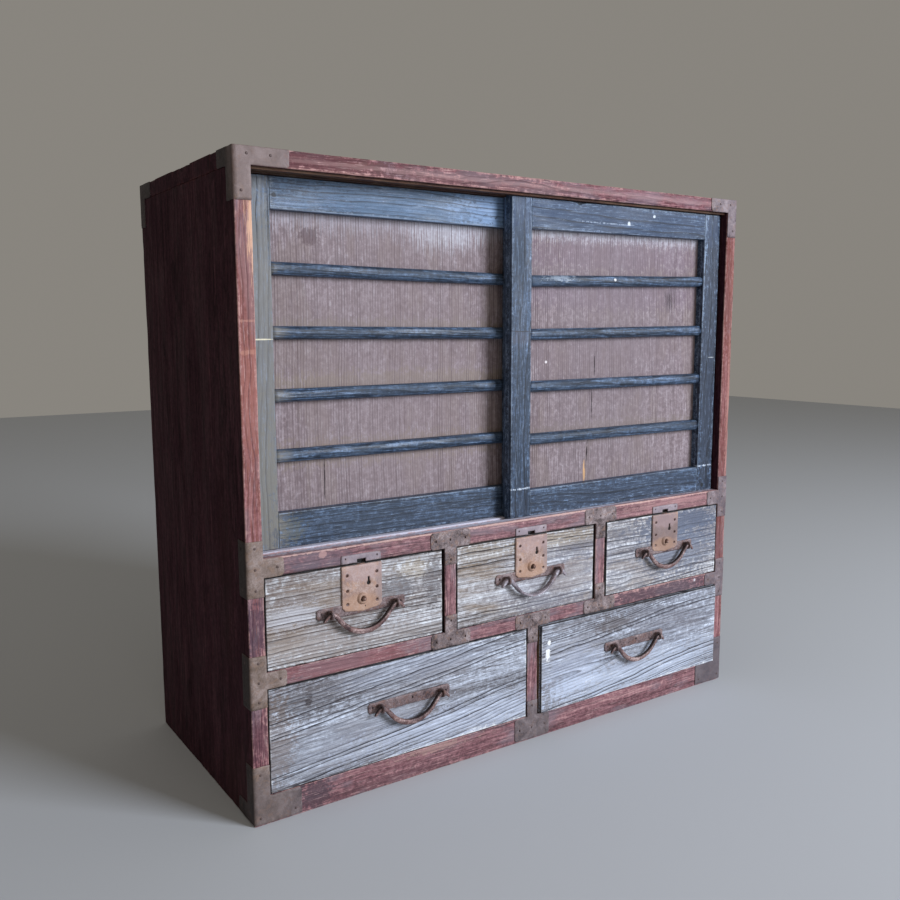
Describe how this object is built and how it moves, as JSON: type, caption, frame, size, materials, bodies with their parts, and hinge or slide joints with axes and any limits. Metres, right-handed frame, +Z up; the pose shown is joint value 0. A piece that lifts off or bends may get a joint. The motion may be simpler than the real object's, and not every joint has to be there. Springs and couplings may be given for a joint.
{
  "type": "mizuya kitchen cabinet",
  "caption": "Low wooden kitchen cabinet with sliding barred doors over iron-fitted drawers with swinging bail handles and press-pin locks.",
  "frame": {"origin": "on the floor, under the middle of the wooden carcass", "axes": "+X to the right of someone who faces the doors, +Y to the back, +Z up"},
  "size_m": [0.9024, 0.4073, 0.855],
  "materials": {
    "side_lacquer": "very dark red-brown lacquer, worn",
    "frame_lacquer": "red-brown iron-oxide lacquer with worn pink edges",
    "inner_wood": "plain sawn cedar",
    "door_paint": "blue-black paint, satin",
    "panel_wood": "faded mauve-brown cedar",
    "drawer_wood": "weathered silver-grey wood with raised grain",
    "drawer_box_wood": "plain planed cedar",
    "strap_iron": "thin wrought strap, brown rust",
    "handle_iron": "forged iron, dark rust",
    "lock_iron": "wrought plate, light orange-tan rust",
    "pin_iron": "forged iron, dark"
  },
  "bodies": {
    "carcass": {"side_left": "side_lacquer", "side_right": "side_lacquer", "top_board": "frame_lacquer", "middle_rail": "frame_lacquer", "drawer_rail": "frame_lacquer", "bottom_rail": "frame_lacquer", "upper_dividers": "frame_lacquer", "lower_divider": "frame_lacquer", "upper_track": "inner_wood", "bottom_board": "inner_wood", "bottom_bearer": "inner_wood", "back_boards": "inner_wood", "cupboard_floor": "inner_wood", "inner_shelf": "inner_wood", "shelf_cleats": "inner_wood", "drawer_deck": "inner_wood", "corner_irons": "strap_iron", "edge_irons": "strap_iron", "divider_irons": "strap_iron", "strike_plates": "strap_iron"},
    "door_left": {"door_left_frame": "door_paint", "door_left_bars": "door_paint", "door_left_panel": "panel_wood"},
    "door_right": {"door_right_frame": "door_paint", "door_right_bars": "door_paint", "door_right_panel": "panel_wood"},
    "drawer_upper_left": {"drawer_upper_left_front": "drawer_wood", "drawer_upper_left_walls": "drawer_box_wood", "drawer_upper_left_bottom": "drawer_box_wood", "drawer_upper_left_handle_plate": "handle_iron", "drawer_upper_left_lock_plate": "lock_iron"},
    "bail_upper_left": {"drawer_upper_left_bail": "handle_iron"},
    "pin_upper_left": {"drawer_upper_left_lock_pin": "pin_iron"},
    "bolt_upper_left": {"drawer_upper_left_lock_bolt": "pin_iron"},
    "drawer_upper_middle": {"drawer_upper_middle_front": "drawer_wood", "drawer_upper_middle_walls": "drawer_box_wood", "drawer_upper_middle_bottom": "drawer_box_wood", "drawer_upper_middle_handle_plate": "handle_iron", "drawer_upper_middle_lock_plate": "lock_iron"},
    "bail_upper_middle": {"drawer_upper_middle_bail": "handle_iron"},
    "pin_upper_middle": {"drawer_upper_middle_lock_pin": "pin_iron"},
    "bolt_upper_middle": {"drawer_upper_middle_lock_bolt": "pin_iron"},
    "drawer_upper_right": {"drawer_upper_right_front": "drawer_wood", "drawer_upper_right_walls": "drawer_box_wood", "drawer_upper_right_bottom": "drawer_box_wood", "drawer_upper_right_handle_plate": "handle_iron", "drawer_upper_right_lock_plate": "lock_iron"},
    "bail_upper_right": {"drawer_upper_right_bail": "handle_iron"},
    "pin_upper_right": {"drawer_upper_right_lock_pin": "pin_iron"},
    "bolt_upper_right": {"drawer_upper_right_lock_bolt": "pin_iron"},
    "drawer_lower_left": {"drawer_lower_left_front": "drawer_wood", "drawer_lower_left_walls": "drawer_box_wood", "drawer_lower_left_bottom": "drawer_box_wood", "drawer_lower_left_handle_plate": "handle_iron"},
    "bail_lower_left": {"drawer_lower_left_bail": "handle_iron"},
    "drawer_lower_right": {"drawer_lower_right_front": "drawer_wood", "drawer_lower_right_walls": "drawer_box_wood", "drawer_lower_right_bottom": "drawer_box_wood", "drawer_lower_right_handle_plate": "handle_iron"},
    "bail_lower_right": {"drawer_lower_right_bail": "handle_iron"}
  },
  "joints": [
    {"name": "door_left_slide", "type": "slide", "parent": "carcass", "child": "door_left", "axis": [1, 0, 0], "range_m": [0, 0.403]},
    {"name": "door_right_slide", "type": "slide", "parent": "carcass", "child": "door_right", "axis": [1, 0, 0], "range_m": [-0.4, 0.0035]},
    {"name": "drawer_upper_left_slide", "type": "slide", "parent": "carcass", "child": "drawer_upper_left", "axis": [0, -1, 0], "range_m": [0, 0.27]},
    {"name": "drawer_upper_middle_slide", "type": "slide", "parent": "carcass", "child": "drawer_upper_middle", "axis": [0, -1, 0], "range_m": [0, 0.27]},
    {"name": "drawer_upper_right_slide", "type": "slide", "parent": "carcass", "child": "drawer_upper_right", "axis": [0, -1, 0], "range_m": [0, 0.27]},
    {"name": "drawer_lower_left_slide", "type": "slide", "parent": "carcass", "child": "drawer_lower_left", "axis": [0, -1, 0], "range_m": [0, 0.27]},
    {"name": "drawer_lower_right_slide", "type": "slide", "parent": "carcass", "child": "drawer_lower_right", "axis": [0, -1, 0], "range_m": [-0.005, 0.265]},
    {"name": "bail_upper_left_swing", "type": "hinge", "parent": "drawer_upper_left", "child": "bail_upper_left", "pos_m": [-0.289, -0.202, 0.267], "axis": [-1, 0, 0], "range_deg": [-8, 165]},
    {"name": "bail_upper_middle_swing", "type": "hinge", "parent": "drawer_upper_middle", "child": "bail_upper_middle", "pos_m": [0.0035, -0.202, 0.267], "axis": [-1, 0, 0], "range_deg": [-4, 165]},
    {"name": "bail_upper_right_swing", "type": "hinge", "parent": "drawer_upper_right", "child": "bail_upper_right", "pos_m": [0.2945, -0.202, 0.267], "axis": [-1, 0, 0], "range_deg": [-8, 165]},
    {"name": "bail_lower_left_swing", "type": "hinge", "parent": "drawer_lower_left", "child": "bail_lower_left", "pos_m": [-0.21475, -0.202, 0.12], "axis": [-1, 0, 0], "range_deg": [-8, 165]},
    {"name": "bail_lower_right_swing", "type": "hinge", "parent": "drawer_lower_right", "child": "bail_lower_right", "pos_m": [0.22325, -0.207, 0.12], "axis": [-1, 0, 0], "range_deg": [-8, 165]},
    {"name": "pin_upper_left_press", "type": "slide", "parent": "drawer_upper_left", "child": "pin_upper_left", "axis": [0, 1, 0], "range_m": [0, 0.004]},
    {"name": "bolt_upper_left_lift", "type": "slide", "parent": "drawer_upper_left", "child": "bolt_upper_left", "axis": [0, 0, 1], "range_m": [0, 0.004]},
    {"name": "pin_upper_middle_press", "type": "slide", "parent": "drawer_upper_middle", "child": "pin_upper_middle", "axis": [0, 1, 0], "range_m": [0, 0.004]},
    {"name": "bolt_upper_middle_lift", "type": "slide", "parent": "drawer_upper_middle", "child": "bolt_upper_middle", "axis": [0, 0, 1], "range_m": [0, 0.004]},
    {"name": "pin_upper_right_press", "type": "slide", "parent": "drawer_upper_right", "child": "pin_upper_right", "axis": [0, 1, 0], "range_m": [0, 0.004]},
    {"name": "bolt_upper_right_lift", "type": "slide", "parent": "drawer_upper_right", "child": "bolt_upper_right", "axis": [0, 0, 1], "range_m": [0, 0.004]}
  ],
  "couplings": [
    {"joint": "bolt_upper_left_lift", "follows": "pin_upper_left_press", "ratio": 1},
    {"joint": "bolt_upper_middle_lift", "follows": "pin_upper_middle_press", "ratio": 1},
    {"joint": "bolt_upper_right_lift", "follows": "pin_upper_right_press", "ratio": 1}
  ]
}
